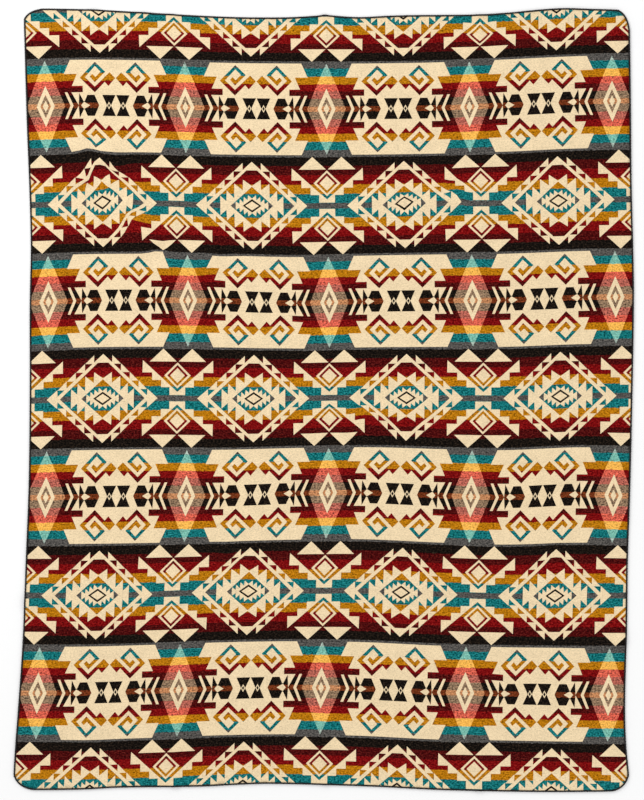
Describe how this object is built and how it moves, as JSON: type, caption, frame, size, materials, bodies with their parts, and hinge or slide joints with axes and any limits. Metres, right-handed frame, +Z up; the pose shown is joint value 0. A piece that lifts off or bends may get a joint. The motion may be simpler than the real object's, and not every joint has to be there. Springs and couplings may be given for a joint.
{
  "type": "woven blanket",
  "caption": "Flat double-faced woven alpaca blanket in horizontal bands of stepped diamonds and hooks, with rounded corners and a black overlocked edge",
  "frame": {"origin": "centre of the bounding box, at the floor the blanket lies on", "axes": "+X is across the blanket to the right as seen from above, +Y is along its length, +Z is up out of the face"},
  "size_m": [1.8268, 2.3084, 0.012],
  "materials": {
    "woven_wool": "brushed wool weave, matt",
    "edge_yarn": "matt black yarn stitching"
  },
  "bodies": {
    "root": {"woven_panel": "woven_wool", "edge_overlock": "edge_yarn"}
  },
  "joints": []
}
